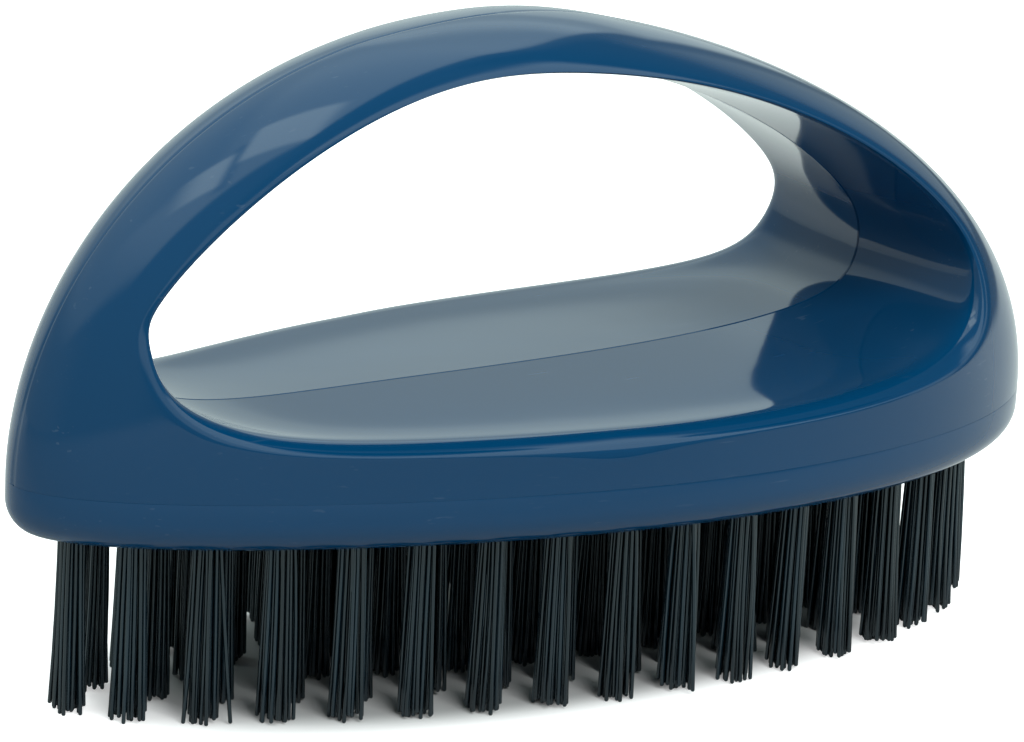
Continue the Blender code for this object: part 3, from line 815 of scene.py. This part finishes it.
def floor_material():
    """White floor: dimmer to the object than to the camera, so that only a shadow stays on white. To the
    object it has painted shade, darker in front of the brush and far to the right. To the camera it has a
    painted shadow round the brush over the real one.
    """
    material, tree, shader = new_material("studio floor")
    place = add_node(tree, "ShaderNodeTexCoord", {}).outputs["Object"]
    # Painted shade: to the object the floor is darker in front of the brush and far to the right
    back = range_node(tree, dot_node(tree, place, FLAT_AHEAD), FLOOR_BACK_REACH, FLOOR_BACK_PAINTED_SHADE)
    right = range_node(tree, dot_node(tree, place, FLAT_RIGHT), FLOOR_RIGHT_REACH, FLOOR_RIGHT_PAINTED_SHADE,
                       "SMOOTHSTEP")
    oval = add_node(tree, "ShaderNodeVectorMath", {0: place, 1: (2.0 / BASE_LENGTH, 2.0 / BASE_WIDTH, 0.0)},
                    operation="MULTIPLY")
    far = add_node(tree, "ShaderNodeVectorMath", {0: oval.outputs["Vector"]}, operation="LENGTH")
    # Painted shadow: to the camera the floor's colour is darker near the brush, over its real shadow
    tone = range_node(tree, far.outputs["Value"], SHADOW_SHARES, PAINTED_SHADOW_TONES, "SMOOTHSTEP")
    glow = range_node(tree, far.outputs["Value"], SHADOW_SHARES, FLOOR_GLOWS, "SMOOTHSTEP")
    camera = add_node(tree, "ShaderNodeLightPath", {}).outputs["Is Camera Ray"]
    fill(tree, shader, {
        "Base Color": mix_node(tree, camera, math_node(tree, "MULTIPLY", back, right), tone),
        "Roughness": 1.0, "Specular IOR Level": 0.0, "Emission Color": WHITE,
        "Emission Strength": math_node(tree, "MULTIPLY", camera, glow)})
    return material


def make_floor():
    """A wide pale floor just under the bristle tips."""
    shape = bmesh.new()
    bmesh.ops.create_grid(shape, x_segments=1, y_segments=1, size=FLOOR_HALF_SIZE)
    mesh = bpy.data.meshes.new("floor")
    shape.to_mesh(mesh)
    shape.free()
    floor = bpy.data.objects.new("floor", mesh)
    bpy.context.scene.collection.objects.link(floor)
    mesh.materials.append(floor_material())


def area_mask(tree, measures, edges):
    """Product of the smooth masks at an area's edges."""
    product = 1.0
    for name, outside, inside in edges:
        rising = inside > outside
        reach = (outside, inside) if rising else (inside, outside)
        tones = (0.0, 1.0) if rising else (1.0, 0.0)
        mask = range_node(tree, measures[name], reach, tones, "SMOOTHSTEP")
        product = math_node(tree, "MULTIPLY", product, mask)
    return product


def raise_to(tree, level, mask, target):
    """A level moved towards a target where the mask is 1."""
    change = math_node(tree, "SUBTRACT", target, level)
    return math_node(tree, "ADD", level, math_node(tree, "MULTIPLY", change, mask))


def studio_measures(tree):
    """Outputs for what the edges in the studio are measured by."""
    place = add_node(tree, "ShaderNodeTexCoord", {}).outputs["Generated"]
    measures = {"side": dot_node(tree, place, FLAT_RIGHT),
                "front": dot_node(tree, place, [-part for part in FLAT_AHEAD]),
                "up": dot_node(tree, place, (0.0, 0.0, 1.0))}
    height = math_node(tree, "MAXIMUM", measures["up"], LEAST_UP)
    measures["across"] = math_node(tree, "DIVIDE", measures["side"], height)
    measures["ahead"] = math_node(tree, "DIVIDE", measures["front"], height)
    slanted = math_node(tree, "MULTIPLY", measures["front"], REAR_EDGE_SLANT)
    measures["rear_edge"] = math_node(tree, "ADD", measures["side"], slanted)
    slanted = math_node(tree, "MULTIPLY", measures["ahead"], FORE_EDGE_SLANT)
    measures["fore_edge"] = math_node(tree, "ADD", measures["across"], slanted)
    return measures


def studio_level(tree):
    """Output for the studio's brightness: its walls, ceiling panel, other panels and ceiling spots.

    The wide ceiling panel reaches over the brush from behind and the left, and ends in a straight
    edge just right of overhead and another one in front.
    """
    measures = studio_measures(tree)
    level = ROOM_LEVEL
    for target, *edges in WALLS:
        level = raise_to(tree, level, area_mask(tree, measures, edges), target)

    overhead = math_node(tree, "MULTIPLY", area_mask(tree, measures, [OVERHEAD_EDGE]), OVERHEAD_GAIN)
    off_corner = math_node(tree, "MAXIMUM", area_mask(tree, measures, [CORNER_FORE_EDGE]),
                           area_mask(tree, measures, [CORNER_RIGHT_EDGE]))
    off_corner = math_node(tree, "MULTIPLY", off_corner, area_mask(tree, measures, [OFF_CORNER_EDGE]))
    off_corner = math_node(tree, "MULTIPLY", off_corner, OFF_CORNER_GAIN)
    glow = math_node(tree, "ADD", math_node(tree, "ADD", overhead, PANEL_LEVEL), off_corner)
    level = raise_to(tree, level, area_mask(tree, measures, PANEL_EDGES), glow)

    for target, *edges in PANELS:
        level = raise_to(tree, level, area_mask(tree, measures, edges), target)
    for target, left, right, rear, fore, left_blur, blur in CEILING_SPOTS:
        edges = (CEILING_EDGE, ("across", left - left_blur, left + left_blur),
                 ("across", right + blur, right - blur), ("ahead", rear - blur, rear + blur),
                 ("ahead", fore + blur, fore - blur))
        level = raise_to(tree, level, area_mask(tree, measures, edges), target)
    return level


def make_world():
    """Studio surroundings by direction, which the camera itself sees as plain white."""
    world = bpy.data.worlds.new("studio")
    bpy.context.scene.world = world
    world.use_nodes = True
    tree = world.node_tree
    tinted = add_node(tree, "ShaderNodeVectorMath", {0: ROOM_TINT, "Scale": studio_level(tree)},
                      operation="SCALE")
    studio = tree.nodes["Background"]
    fill(tree, studio, {"Color": tinted.outputs[0], "Strength": 1.0})
    white = add_node(tree, "ShaderNodeBackground", {"Color": WHITE})
    camera = add_node(tree, "ShaderNodeLightPath", {}).outputs["Is Camera Ray"]
    choose = add_node(tree, "ShaderNodeMixShader", {0: camera, 1: studio.outputs[0], 2: white.outputs[0]})
    fill(tree, tree.nodes["World Output"], {"Surface": choose.outputs[0]})


def make_key_light():
    """A square softbox, high on the camera's right, that isn't mirrored in the plastic."""
    reach = KEY_DISTANCE * math.cos(KEY_HEIGHT)
    turn = KEY_TURN - CAMERA_YAW
    place = Vector((reach * math.sin(turn), -reach * math.cos(turn), KEY_DISTANCE * math.sin(KEY_HEIGHT)))
    light = bpy.data.lights.new("key_softbox", "AREA")
    light.shape = "RECTANGLE"
    light.size = KEY_SIZE
    light.size_y = KEY_SIZE
    light.energy = KEY_POWER
    lamp = bpy.data.objects.new("key_softbox", light)
    bpy.context.scene.collection.objects.link(lamp)
    lamp.visible_glossy = False
    lamp.location = place
    lamp.rotation_euler = (Vector(KEY_TARGET) - place).to_track_quat("-Z", "Y").to_euler()


def make_camera():
    """The photograph's camera."""
    data = bpy.data.cameras.new("photo_camera")
    data.sensor_width = SENSOR_MM
    data.lens = LENS_MM
    data.clip_start, data.clip_end = CAMERA_CLIP
    camera = bpy.data.objects.new("photo_camera", data)
    bpy.context.scene.collection.objects.link(camera)
    level = math.cos(CAMERA_DIP)
    ahead = Vector((FLAT_AHEAD[0] * level, FLAT_AHEAD[1] * level, -math.sin(CAMERA_DIP)))
    right = Vector(FLAT_RIGHT)
    above = right.cross(ahead)
    tilted = right * math.cos(CAMERA_TILT) + above * math.sin(CAMERA_TILT)
    raised = above * math.cos(CAMERA_TILT) - right * math.sin(CAMERA_TILT)
    turn = Matrix((tilted, raised, -ahead)).transposed().to_4x4()
    camera.matrix_world = Matrix.Translation(CAMERA_PLACE) @ turn
    bpy.context.scene.camera = camera


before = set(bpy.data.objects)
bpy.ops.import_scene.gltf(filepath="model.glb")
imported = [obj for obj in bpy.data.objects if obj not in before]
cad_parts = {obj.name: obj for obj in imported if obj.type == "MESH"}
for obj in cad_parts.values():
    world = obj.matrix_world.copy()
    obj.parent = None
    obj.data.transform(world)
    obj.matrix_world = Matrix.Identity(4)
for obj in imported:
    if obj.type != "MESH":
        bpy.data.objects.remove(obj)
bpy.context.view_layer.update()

navy = plastic_material()
nylon = nylon_material()
outer_places, inner_places = tuft_places()
make_handle(navy)
make_block(navy, np.vstack([outer_places, inner_places]))
outer_nodes = sorted(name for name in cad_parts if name.startswith("outer_tuft_"))
make_tufts("outer_filaments", outer_places, OUTER_SEED, nylon, outer_nodes)
make_tufts("inner_filaments", inner_places, INNER_SEED, nylon, ["inner_tuft_field"])

make_floor()
make_world()
make_key_light()
make_camera()
bpy.context.scene.view_settings.view_transform = "Standard"
